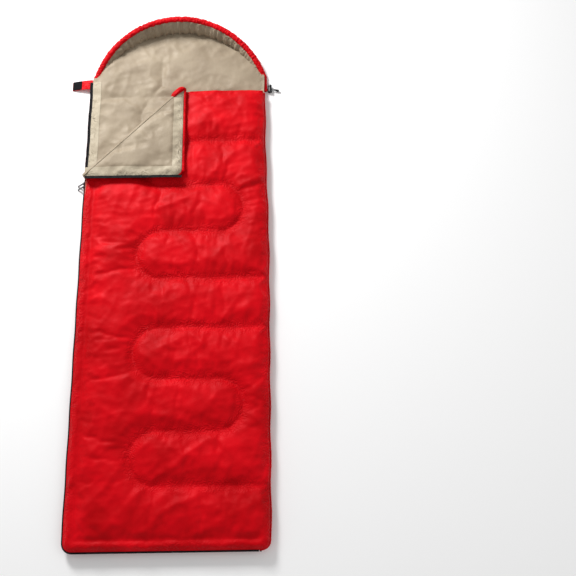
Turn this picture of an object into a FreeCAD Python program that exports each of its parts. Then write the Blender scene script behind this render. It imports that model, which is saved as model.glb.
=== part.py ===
"""Envelope sleeping bag with a hood, its upper left corner unzipped and folded back.

Frame: +X to the right of the person lying in it, +Y towards the hood, +Z up, in millimetres.
The origin is the centre of the body panel's underside, on the floor.
"""
import FreeCAD, Part
import math
import os
import re

import Sketcher

Vector = FreeCAD.Vector

# How much of its shorter run an arc of the cord takes up on each side of a point.
ARC_SHARE = 0.45

# Where the free cord bends and ends, from where it leaves its casing.
CORD_BEND = Vector(38, 0, 0)
CORD_TIP = Vector(57, -4, -2.8)

# How far the cord runs into the tapered piece on its end, as a share of that piece's length.
END_SHARE = 0.75

SIZES = {
    # the whole bag
    "bag_width": 750,
    "body_length": 1940,
    "hood_length": 260,
    "quilt_thick": 24,
    "skin_thick": 1,
    "body_gap": 9,
    "corner_radius": 30,
    "joint_gap": 0.3,
    # the corner that folds back
    "hem_setback": 85,
    "flap_leg": 400,
    "flap_lift": 2,
    "fold_gap": 1,
    "side_gap": 0.5,
    "seam_radius": 4,
    # zipper
    "facing_width": 39,
    "facing_thick": 0.6,
    "tape_thick": 0.6,
    "tape_out": 9,
    "tape_in": 2,
    "coil_width": 2.4,
    "coil_split": 1.8,
    "zip_end": 40,
    "box_length": 7,
    "top_setback": 20,
    "stop_setback": 72,
    "stop_length": 3,
    "slider_length": 11,
    "slider_wall": 1.6,
    "slider_tall": 9,
    "slider_side": 0.6,
    "slider_clear": 0.3,
    "post_length": 4,
    "slider_back": 12,
    "slider_pitch": 15,
    "lug_reach": 3.8,
    "lug_width": 2.4,
    "lug_tall": 3.6,
    "pin_radius": 0.7,
    "pin_clear": 0.2,
    "pull_length": 38,
    "pull_width": 6.4,
    "pull_thick": 1.4,
    "arm_gap": 0.4,
    "arm_length": 6,
    # hook tab and the loop patch it closes on
    "tab_length": 80,
    "tab_width": 43,
    "tab_thick": 2.5,
    "tab_setback": 5,
    "anchor_reach": 12,
    "anchor_height": 20,
    "tab_drop": 17,
    "patch_length": 42,
    "patch_thick": 1.2,
    "patch_margin": 1.5,
    # hood rim
    "wall_thick": 24,
    "rim_rise": 76,
    "rim_clear": 1,
    "casing_radius": 9,
    "casing_drop": 65,
    "notch_gap": 0.5,
    "cord_radius": 1.5,
    "exit_radius": 2.2,
    # cord lock and cord end
    "exit_setback": 57,
    "lock_reach": 12,
    "lock_radius": 9,
    "lock_below": 12,
    "lock_above": 8,
    "lock_floor": 3,
    "bore_radius": 6.2,
    "plunger_radius": 5.9,
    "plunger_below": 4.5,
    "plunger_travel": 3.5,
    "button_gap": 0.5,
    "button_radius": 8,
    "button_length": 8,
    "spring_radius": 4.6,
    "spring_wire": 0.35,
    "spring_turns": 3,
    "spring_share": 0.98,
    "spring_foot": 0.007,
    "end_length": 22,
    "end_radius": 5.5,
}

# Places worked out from the sizes above.
DERIVED = {
    "half_width": "bag_width / 2",
    "half_length": "body_length / 2",
    "top_low": "quilt_thick + body_gap",
    "top_high": "top_low + quilt_thick",
    "middle": "quilt_thick + body_gap / 2",
    "hem_y": "half_length - hem_setback",
    "fold_x": "-half_width",
    "fold_y": "hem_y - flap_leg",
    "fold_end_x": "flap_leg - half_width",
    "coil_thick": "(body_gap - coil_split) / 2 - facing_thick - tape_thick",
    "tape_low": "quilt_thick + facing_thick",
    "coil_low": "tape_low + tape_thick",
    "zip_end_x": "half_width - zip_end",
    "slider_x": "-half_width - tape_out - slider_side",
    "slider_y": "fold_y - slider_back",
    "pivot_x": "slider_x - slider_wall - lug_reach / 2",
    "hinge_y": "half_length",
    "hood_apex": "half_length + hood_length",
    "hood_radius": "(half_width ^ 2 + hood_length ^ 2) / (2 * hood_length)",
    "hood_y": "hood_apex - hood_radius",
    "rim_height": "casing_radius + rim_clear",
    "rim_half": "half_width - wall_thick / 2",
    "rim_run": "hood_length - wall_thick / 2",
    "rim_sagitta": "sqrt(rim_run ^ 2 + rim_rise ^ 2)",
    "rim_radius": "(rim_half ^ 2 + rim_sagitta ^ 2) / (2 * rim_sagitta)",
    "rim_slope": "rim_rise / rim_run",
    "rim_under": "rim_height - casing_radius * rim_sagitta / rim_run",
    "exit_y": "half_length - exit_setback",
    "lock_x": "half_width + lock_reach",
    "tab_y": "half_length - tab_setback - tab_width",
    "tab_hinge_x": "-half_width - anchor_reach",
}

document = FreeCAD.newDocument("sleeping_bag")
sheet = document.addObject("Spreadsheet::Sheet", "sizes")
for row, (alias, value) in enumerate(SIZES.items(), start=1):
    sheet.set(f"A{row}", alias)
    sheet.set(f"B{row}", str(value))
    sheet.setAlias(f"B{row}", alias)
document.recompute()

subparts = []


def spelled(text):
    """An expression in plain size names, written out for the spreadsheet."""
    def word(match):
        name = match.group()
        if name in DERIVED:
            return f"({spelled(DERIVED[name])})"
        return f"sizes.{name}" if name in SIZES else name

    return re.sub(r"[a-z_]+", word, str(text))


def bind(thing, **properties):
    """Bind properties of an object, such as Length, to expressions in size names."""
    for name, text in properties.items():
        thing.setExpression(name.replace("__", "."), spelled(text))


def number(text):
    """The value of an expression in size names."""
    return float(document.sizes.evalExpression(spelled(text)))


def keep(thing, label):
    """Name an object as a finished piece of the bag."""
    thing.Label = label
    subparts.append(thing)
    return thing


def place(thing, x=0, y=0, z=0, axis=None, angle=0):
    """Bind an object's place, and its turn about one axis in degrees."""
    if axis:
        thing.Placement = FreeCAD.Placement(Vector(), FreeCAD.Rotation(Vector(*axis), 1))
        bind(thing, Placement__Rotation__Angle=angle)
    bind(thing, Placement__Base__x=x, Placement__Base__y=y, Placement__Base__z=z)
    return thing


def box(name, x, y, z):
    """A block between two bounds along each axis."""
    block = document.addObject("Part::Box", name)
    bind(block, Length=f"{x[1]} - ({x[0]})", Width=f"{y[1]} - ({y[0]})", Height=f"{z[1]} - ({z[0]})")
    return place(block, x[0], y[0], z[0])


def disc(name, radius, z):
    """An upright cylinder about the centre of the hood's round."""
    cylinder = document.addObject("Part::Cylinder", name)
    bind(cylinder, Radius=radius, Height=f"{z[1]} - ({z[0]})")
    return place(cylinder, 0, "hood_y", z[0])


def rod(name, radius, length, start, axis="y"):
    """A round bar that starts at a point and runs along +X or +Y."""
    cylinder = document.addObject("Part::Cylinder", name)
    bind(cylinder, Radius=radius, Height=length)
    turn = {"x": ((0, 1, 0), 90), "y": ((-1, 0, 0), 90)}[axis]
    return place(cylinder, *start, axis=turn[0], angle=turn[1])


def cut(name, base, tool):
    result = document.addObject("Part::Cut", name)
    result.Base, result.Tool = base, tool
    return result


def common(name, base, tool):
    result = document.addObject("Part::Common", name)
    result.Base, result.Tool = base, tool
    return result


def fuse(name, *pieces):
    result = document.addObject("Part::MultiFuse", name)
    result.Shapes = list(pieces)
    return result


def prism(name, outline, z, rounded=None):
    """A padded sketch: a straight-sided outline between two heights, some corners rounded.

    rounded maps the number of an outline point to the radius of the corner there.
    """
    body = document.addObject("PartDesign::Body", name)
    sketch = body.newObject("Sketcher::SketchObject", f"{name}_outline")
    plane = next(item for item in body.Origin.OriginFeatures if item.Role == "XY_Plane")
    sketch.AttachmentSupport = (plane, [""])
    sketch.MapMode = "FlatFace"
    bind(sketch, AttachmentOffset__Base__z=z[0])
    corners = [Vector(number(x), number(y), 0) for x, y in outline]
    for start, end in zip(corners, corners[1:] + corners[:1]):
        sketch.addGeometry(Part.LineSegment(start, end), False)
    for index, (x, y) in enumerate(outline):
        following = (index + 1) % len(outline)
        sketch.addConstraint(Sketcher.Constraint("Coincident", index, 2, following, 1))
        for kind, text, value in (("X", x, corners[index].x), ("Y", y, corners[index].y)):
            made = sketch.addConstraint(Sketcher.Constraint(f"Distance{kind}", -1, 1, index, 1, value))
            sketch.renameConstraint(made, f"{kind}{index}")
            sketch.setExpression(f"Constraints.{kind}{index}", spelled(text))
    pad = body.newObject("PartDesign::Pad", f"{name}_pad")
    pad.Profile = sketch
    bind(pad, Length=f"{z[1]} - ({z[0]})")
    document.recompute()
    for index, radius in (rounded or {}).items():
        round_corner(body, corners[index], radius)
    return body


def round_corner(body, corner, radius):
    """Fillet the upright edge of a prism that stands at a corner."""
    for index, edge in enumerate(body.Shape.Edges, start=1):
        ends = [Vector(vertex.Point.x, vertex.Point.y, 0) for vertex in edge.Vertexes]
        if len(ends) == 2 and all(end.distanceToPoint(corner) < 1e-4 for end in ends):
            last = body.Tip
            fillet = body.newObject("PartDesign::Fillet", f"{body.Name}_round")
            fillet.Base = (last, [f"Edge{index}"])
            bind(fillet, Radius=radius)
            document.recompute()
            return


def base_outline(inset):
    """The bottom quilt, notched at the upper right for the end of the cord casing."""
    right = f"half_width - side_gap - {inset}"
    notch = f"rim_half - casing_radius - notch_gap - {inset}"
    upper = f"half_length - joint_gap - {inset}"
    step = f"half_length - casing_drop - notch_gap - {inset}"
    left, foot = f"-half_width + {inset}", f"-half_length + {inset}"
    return [(left, foot), (right, foot), (right, step), (notch, step), (notch, upper), (left, upper)]


def top_outline(inset):
    """The top quilt: a rectangle without its upper left corner."""
    right, hem = f"half_width - side_gap - {inset}", f"hem_y - {inset}"
    left, foot = f"-half_width + {inset}", f"-half_length + {inset}"
    along = f"sqrt(2) * (fold_gap + {inset})"
    fold_left = (left, f"fold_y + {inset} - {along}")
    fold_right = (f"fold_end_x - {inset} + {along}", hem)
    return [(left, foot), (right, foot), (right, hem), fold_right, fold_left]


def flap_outline(inset):
    """The folded corner, mirrored over the fold line onto the top quilt."""
    along = f"sqrt(2) * (fold_gap + {inset})"
    side = f"fold_end_x - {inset}"
    lower = f"fold_y + {inset}"
    return [(f"fold_x + {inset} + {along}", lower), (side, lower), (side, f"hem_y - {inset} - {along}")]


def quilt(name, outline, low, skin_below, rounded=()):
    """Shell, filling and liner of one quilt; the shell is a tray that is open at the liner."""
    high = f"{low} + quilt_thick"
    round_outer = {index: "corner_radius" for index in rounded}
    round_inner = {index: "corner_radius - skin_thick" for index in rounded}
    liner_low = f"{high} - skin_thick" if skin_below else low
    liner_high = high if skin_below else f"{low} + skin_thick"
    core_low = f"{low} + skin_thick" if skin_below else low
    core_high = high if skin_below else f"{high} - skin_thick"
    fill_z = (f"{low} + skin_thick", f"{high} - skin_thick")
    outer = prism(f"{name}_outer", outline("0"), (low, high), round_outer)
    core = prism(f"{name}_core", outline("skin_thick"), (core_low, core_high), round_inner)
    keep(cut(f"{name}_shell", outer, core), f"{name}_shell")
    keep(prism(f"{name}_fill", outline("skin_thick"), fill_z, round_inner), f"{name}_fill")
    liner = prism(f"{name}_liner", outline("skin_thick"), (liner_low, liner_high), round_inner)
    keep(liner, f"{name}_liner")


def side_and_foot_strip(name, beyond, within, top, z, inner_round=None):
    """A strip that runs down the left side and along the foot, about the quilt's edge."""
    left_out, left_in = f"-half_width - ({beyond})", f"-half_width + ({within})"
    foot_out, foot_in = f"-half_length - ({beyond})", f"-half_length + ({within})"
    end = "zip_end_x"
    outline = [(left_out, foot_out), (end, foot_out), (end, foot_in), (left_in, foot_in)]
    outline += [(left_in, top), (left_out, top)]
    rounded = {0: f"corner_radius + ({beyond})"}
    if inner_round:
        rounded[3] = inner_round
    return keep(prism(name, outline, z, rounded), name)


def zipper_half(level, top, facing_z, tape_z, coil_z):
    """Facing, tape and coil of one side of the zipper."""
    coil_in = "coil_width - tape_out"
    side_and_foot_strip(f"zipper_facing_{level}", "0", "facing_width", top, facing_z)
    side_and_foot_strip(f"zipper_tape_{level}", "tape_out", "tape_in", top, tape_z,
                        "corner_radius - tape_in")
    side_and_foot_strip(f"zipper_coil_{level}", "tape_out", coil_in, top, coil_z,
                        f"corner_radius - ({coil_in})")


def bottom_panel():
    quilt("bottom", base_outline, "0", skin_below=True, rounded=(0, 1))
    top = "half_length - top_setback"
    zipper_half("lower", top, ("quilt_thick", "tape_low"), ("tape_low", "coil_low"),
                ("coil_low", "coil_low + coil_thick"))
    coil_x = ("-half_width - tape_out", "-half_width - tape_out + coil_width")
    coil_z = ("coil_low", "coil_low + coil_thick")
    stop_y = ("half_length - stop_setback", "half_length - stop_setback + stop_length")
    jaw = box("stop_jaw", (f"{coil_x[0]} - slider_side", f"{coil_x[1]} + slider_side"), stop_y,
              ("coil_low", f"{coil_z[1]} + slider_clear"))
    coil_space = box("stop_space", coil_x, stop_y, coil_z)
    keep(cut("top_stop_lower", jaw, coil_space), "top_stop_lower")
    foot_out = "-half_length - tape_out"
    keep(box("zipper_box", ("zip_end_x", "zip_end_x + box_length"),
             (foot_out, f"{foot_out} + box_length"), ("tape_low", "middle - slider_clear")), "zipper_box")
    side_y = "-half_length + corner_radius"
    seam = rod("side_seam", "seam_radius", f"hem_y - ({side_y})", ("half_width", side_y, "middle"))
    keep(seam, "side_seam")


def top_panel():
    quilt("top", top_outline, "top_low", skin_below=False, rounded=(0, 1))
    top = "fold_y - 2 * fold_gap"
    zipper_half("upper", top, ("top_low - facing_thick", "top_low"),
                ("top_low - facing_thick - tape_thick", "top_low - facing_thick"),
                ("middle + coil_split / 2", "middle + coil_split / 2 + coil_thick"))
    foot_out = "-half_length - tape_out"
    keep(box("zipper_pin", ("zip_end_x", "zip_end_x + box_length"), (foot_out, f"{foot_out} + coil_width"),
             ("middle + slider_clear", "top_low - facing_thick")), "zipper_pin")
    hem_x = ("fold_end_x + 2 * fold_gap", "half_width - side_gap")
    keep(box("top_hem_binding", hem_x, ("hem_y", "hem_y + skin_thick"), ("top_low", "top_high")),
         "top_hem_binding")


def folded_corner():
    """The unzipped corner as it lies on the top quilt, liner side up."""
    low = "(top_high + flap_lift)"
    quilt("flap", flap_outline, low, skin_below=True)
    high = f"{low} + quilt_thick"
    facing_z = (high, f"{high} + facing_thick")
    start = "fold_x + sqrt(2) * fold_gap"
    across = [(start, "fold_y"), ("fold_end_x", "fold_y"), ("fold_end_x", "fold_y + facing_width"),
              (f"{start} + facing_width", "fold_y + facing_width")]
    keep(prism("flap_zipper_facing", across, facing_z), "flap_zipper_facing")
    inner, corner_y = "fold_end_x - facing_width", "fold_y + facing_width"
    fold_at = "hem_y - sqrt(2) * fold_gap"
    up = [(inner, corner_y), ("fold_end_x", corner_y), ("fold_end_x", fold_at),
          (inner, f"{fold_at} - facing_width")]
    keep(prism("flap_hem_facing", up, facing_z), "flap_hem_facing")
    tape_z = (facing_z[1], f"{facing_z[1]} + tape_thick")
    coil_z = (tape_z[1], f"{tape_z[1]} + coil_thick")
    along = ("fold_x + 2 * fold_gap", "fold_end_x")
    tape_y = ("fold_y - tape_out", "fold_y + tape_in")
    keep(box("flap_zipper_tape", along, tape_y, tape_z), "flap_zipper_tape")
    coil_y = ("fold_y - tape_out", "fold_y - tape_out + coil_width")
    keep(box("flap_zipper_coil", (along[0], "fold_end_x - stop_length"), coil_y, coil_z), "flap_zipper_coil")
    keep(box("top_stop_upper", ("fold_end_x - stop_length", "fold_end_x"), coil_y, coil_z), "top_stop_upper")
    keep(box("flap_hem_binding", ("fold_end_x", "fold_end_x + skin_thick"),
             ("fold_y", "hem_y - 2 * fold_gap"), (low, high)), "flap_hem_binding")
    patch_x = ("fold_end_x - patch_margin - tab_width", "fold_end_x - patch_margin")
    patch_y = ("fold_y + patch_margin", "fold_y + patch_margin + patch_length")
    keep(box("flap_loop_patch", patch_x, patch_y, (f"{low} - patch_thick", low)), "flap_loop_patch")


def slider(level, centre_y):
    """A zipper slider on edge: outer wing, post between the coils, inner wing, and a lug."""
    name = f"slider_{level}"
    inner_x = "-half_width - tape_out + coil_width + slider_side"
    wing_y = (f"{centre_y} - slider_length / 2", f"{centre_y} + slider_length / 2")
    wing_z = ("middle - slider_tall / 2", "middle + slider_tall / 2")
    outer = box(f"{name}_outer", ("slider_x - slider_wall", "slider_x"), wing_y, wing_z)
    inner_z = ("coil_low + slider_clear", "top_low - facing_thick - tape_thick - slider_clear")
    inner = box(f"{name}_inner", (inner_x, f"{inner_x} + slider_wall"), wing_y, inner_z)
    post_z = ("middle - coil_split / 2 + slider_clear", "middle + coil_split / 2 - slider_clear")
    post = box(f"{name}_post", ("slider_x - slider_wall / 2", f"{inner_x} + slider_wall / 2"),
               (f"{centre_y} - post_length / 2", f"{centre_y} + post_length / 2"), post_z)
    lug_y = (f"{centre_y} - lug_width / 2", f"{centre_y} + lug_width / 2")
    lug = box(f"{name}_lug", ("slider_x - slider_wall - lug_reach", "slider_x - slider_wall / 2"), lug_y,
              ("middle - lug_tall / 2", "middle + lug_tall / 2"))
    eye = rod(f"{name}_eye", "pin_radius + pin_clear", "2 * lug_width",
              ("pivot_x", f"{centre_y} - lug_width", "middle"))
    solid = fuse(f"{name}_solid", outer, inner, post, lug)
    keep(cut(name, solid, eye), name)


def pull(level, centre_y):
    """A pull: a pin through the slider's lug, an arm each side of it and a flat blade."""
    name = f"pull_{level}"
    arm_in, arm_out = "(lug_width / 2 + arm_gap)", "(pull_width / 2)"
    pin = rod(f"{name}_pin", "pin_radius", "pull_width", ("0", f"-{arm_out}", "0"))
    blade = box(f"{name}_blade", ("arm_length - pull_thick", "pull_length"), (f"-{arm_out}", arm_out),
                ("-pull_thick / 2", "pull_thick / 2"))
    arms = [box(f"{name}_arm_{index}", ("-pull_thick", "arm_length"), bounds,
                ("-pull_thick / 2", "pull_thick / 2"))
            for index, bounds in enumerate([(f"-{arm_out}", f"-{arm_in}"), (arm_in, arm_out)])]
    whole = fuse(name, pin, blade, *arms)
    lean = "180 deg - asin((middle - pull_thick) / pull_length)"
    keep(place(whole, "pivot_x", centre_y, "middle", axis=(0, 1, 0), angle=lean), name)


def tab():
    """The hook tab: a fixed root, and a strap that slopes down to the floor."""
    keep(box("tab_anchor", ("tab_hinge_x + joint_gap", "-half_width"), ("tab_y", "tab_y + tab_width"),
             ("anchor_height - tab_thick", "anchor_height")), "tab_anchor")
    lean = "asin(tab_drop / tab_length)"
    far_x = f"tab_hinge_x - joint_gap - tab_length * cos({lean})"
    far_z = "anchor_height - tab_thick - tab_drop"
    strap = document.addObject("Part::Box", "tab_strap")
    bind(strap, Length="tab_length", Width="tab_width", Height="tab_thick")
    keep(place(strap, far_x, "tab_y", far_z, axis=(0, -1, 0), angle=lean), "tab_strap")
    patch = document.addObject("Part::Box", "tab_hook_patch")
    bind(patch, Length="patch_length", Width="tab_width - 2 * patch_margin", Height="patch_thick")
    patch_x = f"{far_x} + patch_margin * cos({lean}) - tab_thick * sin({lean})"
    patch_z = f"{far_z} + patch_margin * sin({lean}) + tab_thick * cos({lean})"
    keep(place(patch, patch_x, "tab_y + patch_margin", patch_z, axis=(0, -1, 0), angle=lean),
         "tab_hook_patch")


def half_space(name, inset="0", z=("-bag_width", "bag_width")):
    """Everything on the hood's side of the shoulder line."""
    near = f"hinge_y + joint_gap + {inset}"
    return box(name, ("-bag_width", "bag_width"), (near, "hood_apex + wall_thick"), z)


def hood_floor():
    """The quilt under the head: a slice of a disc."""
    radius = "hood_radius - wall_thick"
    slab = common("hood_slab", disc("hood_disc", radius, ("0", "quilt_thick")), half_space("hood_side"))
    inner_radius = f"{radius} - skin_thick"
    core = common("hood_core", disc("hood_core_disc", inner_radius, ("skin_thick", "quilt_thick")),
                  half_space("hood_core_side", "skin_thick"))
    keep(cut("hood_shell", slab, core), "hood_shell")
    for name, z in (("hood_fill", ("skin_thick", "quilt_thick - skin_thick")),
                    ("hood_liner", ("quilt_thick - skin_thick", "quilt_thick"))):
        plate = disc(f"{name}_disc", inner_radius, z)
        keep(common(name, plate, half_space(f"{name}_side", "skin_thick")), name)


def rim_wedge(name):
    """The space under the cord casing, which rises from the shoulders to the crown."""
    wedge = document.addObject("Part::Wedge", name)
    near, far = "hinge_y + joint_gap", "hood_apex"
    crown = "rim_under + hood_length * rim_slope"
    bind(wedge, Xmin="-half_width", Xmax="half_width", X2min="-half_width", X2max="half_width",
         Ymin=near, Ymax=far, Zmin="0", Z2min="0", Zmax="rim_under + joint_gap * rim_slope", Z2max=crown)
    return wedge


def ring(name, outer, inner, z):
    return cut(name, disc(f"{name}_out", outer, z), disc(f"{name}_in", inner, z))


def hood_wall():
    """The padded rim that stands round the head, under the casing."""
    tall = ("0", "rim_rise + quilt_thick")
    core_tall = ("skin_thick", "rim_rise + quilt_thick")
    edge, back = "hood_radius", "hood_radius - wall_thick"
    lined = f"{back} + skin_thick"
    whole = ring("wall_whole", edge, back, tall)
    hollow = ring("wall_hollow", f"{edge} - skin_thick", back, core_tall)
    shell = cut("wall_skin", whole, hollow)
    keep(common("hood_wall_shell", shell, rim_wedge("wall_shell_wedge")), "hood_wall_shell")
    fill = ring("wall_core", f"{edge} - skin_thick", lined, core_tall)
    keep(common("hood_wall_fill", fill, rim_wedge("wall_fill_wedge")), "hood_wall_fill")
    liner = ring("wall_lining", lined, back, core_tall)
    keep(common("hood_wall_liner", liner, rim_wedge("wall_liner_wedge")), "hood_wall_liner")


def rim_torus(name, radius):
    """A tube along the hood's rim, in the plane that rises from the shoulders to the crown."""
    torus = document.addObject("Part::Torus", name)
    bind(torus, Radius1="rim_radius", Radius2=radius)
    back = "(rim_sagitta - rim_radius) / rim_sagitta"
    return place(torus, 0, f"hinge_y + rim_run * {back}", f"rim_height + rim_rise * {back}",
                 axis=(1, 0, 0), angle="atan(rim_slope)")


def round_tube(path):
    """The cord's own section, swept along a path."""
    radius, first = number("cord_radius"), path.OrderedEdges[0]
    begin = first.FirstParameter
    section = Part.Wire(Part.makeCircle(radius, first.valueAt(begin), first.tangentAt(begin)))
    tube = path.makePipeShell([section], True, False)
    print("cord volume ratio", round(tube.Volume / (path.Length * math.pi * radius ** 2), 4))
    return tube


def casing_and_cord():
    """The cord casing round the hood and down the right shoulder, and the cord inside it."""
    bore = "casing_radius - skin_thick"
    tube = cut("casing_tube", rim_torus("casing_out", "casing_radius"), rim_torus("casing_in", bore))
    keep(common("hood_casing", tube, half_space("casing_side")), "hood_casing")
    side, height = number("rim_half"), number("rim_height")
    shoulder, crown = number("hinge_y + joint_gap + cord_radius"), number("hinge_y + rim_run")
    arc = Part.Arc(Vector(-side, shoulder, height), Vector(0, crown, number("rim_height + rim_rise")),
                   Vector(side, shoulder, height))
    cord = document.addObject("Part::Feature", "hood_drawcord")
    cord.Shape = round_tube(Part.Wire(arc.toShape()))
    keep(cord, "hood_drawcord")
    low = "half_length - casing_drop"
    length = "casing_drop - joint_gap"
    outer = rod("casing_end_out", "casing_radius", length, ("rim_half", low, "rim_height"))
    inner = rod("casing_end_in", bore, length, ("rim_half", low, "rim_height"))
    tube = cut("casing_end_tube", outer, inner)
    eye = rod("casing_eye", "exit_radius", "casing_radius * 2", ("rim_half", "exit_y", "rim_height"), "x")
    keep(cut("casing_end", tube, eye), "casing_end")
    keep(rod("drawcord_end", "cord_radius", "exit_setback - joint_gap - cord_radius",
             ("rim_half", "exit_y + cord_radius", "rim_height")), "drawcord_end")


def tail_points():
    """The free end of the cord: out of the casing, through the lock and down into its end piece."""
    start = Vector(number("rim_half"), number("exit_y"), number("rim_height"))
    return [start, start + CORD_BEND, start + CORD_TIP]


def bent_path(points):
    """Straight runs between points, joined by arcs as large as the runs allow."""
    edges, start = [], points[0]
    for before, corner, after in zip(points, points[1:], points[2:]):
        back, ahead = before - corner, after - corner
        reach = ARC_SHARE * min(back.Length, ahead.Length)
        radius = reach * math.tan(back.getAngle(ahead) / 2)
        back.normalize()
        ahead.normalize()
        inward = (back + ahead).normalize()
        depth = math.hypot(radius, reach) - radius
        enter, leave = corner + back * reach, corner + ahead * reach
        edges.append(Part.LineSegment(start, enter).toShape())
        edges.append(Part.Arc(enter, corner + inward * depth, leave).toShape())
        print("cord arc radius", round(radius, 1))
        start = leave
    edges.append(Part.LineSegment(start, points[-1]).toShape())
    return Part.Wire(edges)


def cord_tail():
    """The free cord and the tapered piece on its end."""
    points = tail_points()
    tail = document.addObject("Part::Feature", "drawcord_tail")
    tail.Shape = round_tube(bent_path(points))
    keep(tail, "drawcord_tail")
    along = points[2] - points[1]
    along.normalize()
    cone = document.addObject("Part::Cone", "cord_end")
    bind(cone, Radius1="2 * cord_radius", Radius2="end_radius", Height="end_length")
    cone.Placement = FreeCAD.Placement(points[2] - along * (number("end_length") * END_SHARE),
                                       FreeCAD.Rotation(Vector(0, 0, 1), along))
    keep(cone, "cord_end")


def cord_lock():
    """Barrel, spring and plunger; the cord passes across the barrel through both."""
    low = "exit_y - lock_below"
    barrel = rod("barrel_out", "lock_radius", "lock_below + lock_above", ("lock_x", low, "rim_height"))
    bore = rod("barrel_bore", "bore_radius", "lock_below + lock_above",
               ("lock_x", f"{low} + lock_floor", "rim_height"))
    across = ("lock_x - lock_radius * 2", "exit_y", "rim_height")
    hole = rod("barrel_hole", "exit_radius", "lock_radius * 4", across, "x")
    keep(cut("cord_lock_barrel", cut("barrel_cup", barrel, bore), hole), "cord_lock_barrel")
    stem_low = "exit_y - plunger_below"
    stem_high = "exit_y + lock_above + plunger_travel + button_gap"
    stem = rod("plunger_stem", "plunger_radius", f"{stem_high} - ({stem_low})",
               ("lock_x", stem_low, "rim_height"))
    button = rod("plunger_button", "button_radius", "button_length", ("lock_x", stem_high, "rim_height"))
    slot_x = ("lock_x - lock_radius", "lock_x + lock_radius")
    slot_y = ("exit_y - exit_radius", "exit_y + exit_radius + plunger_travel")
    slot = box("plunger_slot", slot_x, slot_y, ("rim_height - exit_radius", "rim_height + exit_radius"))
    keep(cut("cord_lock_plunger", fuse("plunger_solid", stem, button), slot), "cord_lock_plunger")
    rise = "(lock_below - lock_floor - plunger_below - 2 * spring_wire) * spring_share"
    helix = document.addObject("Part::Helix", "spring_line")
    bind(helix, Radius="spring_radius", Pitch=f"{rise} / spring_turns", Height=rise)
    wire = document.addObject("Part::Circle", "spring_section")
    bind(wire, Radius="spring_wire")
    place(wire, "spring_radius", 0, 0, axis=(1, 0, 0), angle=90)
    spring = document.addObject("Part::Sweep", "cord_lock_spring")
    spring.Sections, spring.Spine = [wire], (helix, [])
    spring.Solid, spring.Frenet = True, True
    foot = f"{low} + lock_floor + spring_wire + spring_foot"
    keep(place(spring, "lock_x", foot, "rim_height", axis=(-1, 0, 0), angle=90), "cord_lock_spring")


bottom_panel()
top_panel()
folded_corner()
for level, centre in (("upper", "slider_y"), ("lower", "slider_y - slider_pitch")):
    slider(level, centre)
    pull(level, centre)
tab()
hood_floor()
hood_wall()
casing_and_cord()
cord_tail()
cord_lock()
document.recompute()

failed = [item.Name for item in document.Objects if {"Invalid", "Error"} & set(item.State)]
failed += [item.Label for item in subparts if item.Shape.isNull() or not item.Shape.isValid()]
if failed:
    raise RuntimeError(f"these objects failed: {failed}")

os.makedirs("parts", exist_ok=True)
for item in subparts:
    item.Shape.exportStep(f"parts/{item.Label}.step")
print(len(subparts), "sub-parts written")
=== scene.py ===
"""The sleeping bag's looks: quilted shell and liner, zipper, hood, cord and tab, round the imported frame."""
import math

import bmesh
import bpy
import numpy as np
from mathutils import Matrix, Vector, noise
from mathutils.bvhtree import BVHTree


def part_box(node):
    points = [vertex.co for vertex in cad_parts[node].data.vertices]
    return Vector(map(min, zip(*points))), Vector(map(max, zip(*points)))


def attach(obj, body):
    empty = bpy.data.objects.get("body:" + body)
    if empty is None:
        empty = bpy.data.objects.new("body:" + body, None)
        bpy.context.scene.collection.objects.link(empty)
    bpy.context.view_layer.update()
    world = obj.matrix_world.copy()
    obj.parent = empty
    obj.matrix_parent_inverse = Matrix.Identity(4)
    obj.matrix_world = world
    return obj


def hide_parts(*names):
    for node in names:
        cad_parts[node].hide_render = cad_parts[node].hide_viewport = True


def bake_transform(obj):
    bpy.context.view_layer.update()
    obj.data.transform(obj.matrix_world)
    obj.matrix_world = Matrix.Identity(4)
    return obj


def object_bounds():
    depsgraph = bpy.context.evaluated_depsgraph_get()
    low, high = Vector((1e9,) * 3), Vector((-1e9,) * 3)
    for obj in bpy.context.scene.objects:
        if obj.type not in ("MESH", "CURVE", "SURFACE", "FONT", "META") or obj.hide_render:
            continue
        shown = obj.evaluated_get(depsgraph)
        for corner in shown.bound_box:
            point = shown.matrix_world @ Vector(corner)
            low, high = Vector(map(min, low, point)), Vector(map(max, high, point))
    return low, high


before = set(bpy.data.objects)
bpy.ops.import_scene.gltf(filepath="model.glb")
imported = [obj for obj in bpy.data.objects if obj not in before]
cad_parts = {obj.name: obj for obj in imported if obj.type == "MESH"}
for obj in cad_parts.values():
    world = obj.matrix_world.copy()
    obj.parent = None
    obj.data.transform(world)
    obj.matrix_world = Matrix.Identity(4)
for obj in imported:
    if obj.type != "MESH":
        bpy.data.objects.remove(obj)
cad_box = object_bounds()

MM = 0.001

# The frame's own planes and edges, in metres.
BASE_LOW, BASE_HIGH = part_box("bottom_shell")
TOP_LOW, TOP_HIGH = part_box("top_shell")
FLAP_LOW, FLAP_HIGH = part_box("flap_shell")
LEFT, RIGHT = BASE_LOW[0], -BASE_LOW[0]
FOOT, HINGE_Y = BASE_LOW[1], -BASE_LOW[1]
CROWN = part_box("hood_wall_shell")[1][1]
HEM = TOP_HIGH[1]
FLAP_X, FLAP_Y = FLAP_HIGH[0], FLAP_LOW[1]
MIDDLE = (BASE_HIGH[2] + TOP_LOW[2]) / 2
FOLD_Z = (TOP_HIGH[2] + FLAP_LOW[2]) / 2
HALF = RIGHT
HOOD_LENGTH = CROWN - HINGE_Y
HOOD_RADIUS = (HALF ** 2 + HOOD_LENGTH ** 2) / (2 * HOOD_LENGTH)
HOOD_Y = CROWN - HOOD_RADIUS
CORNER = 30 * MM
CLOTH_THICK = 0.6 * MM

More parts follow.
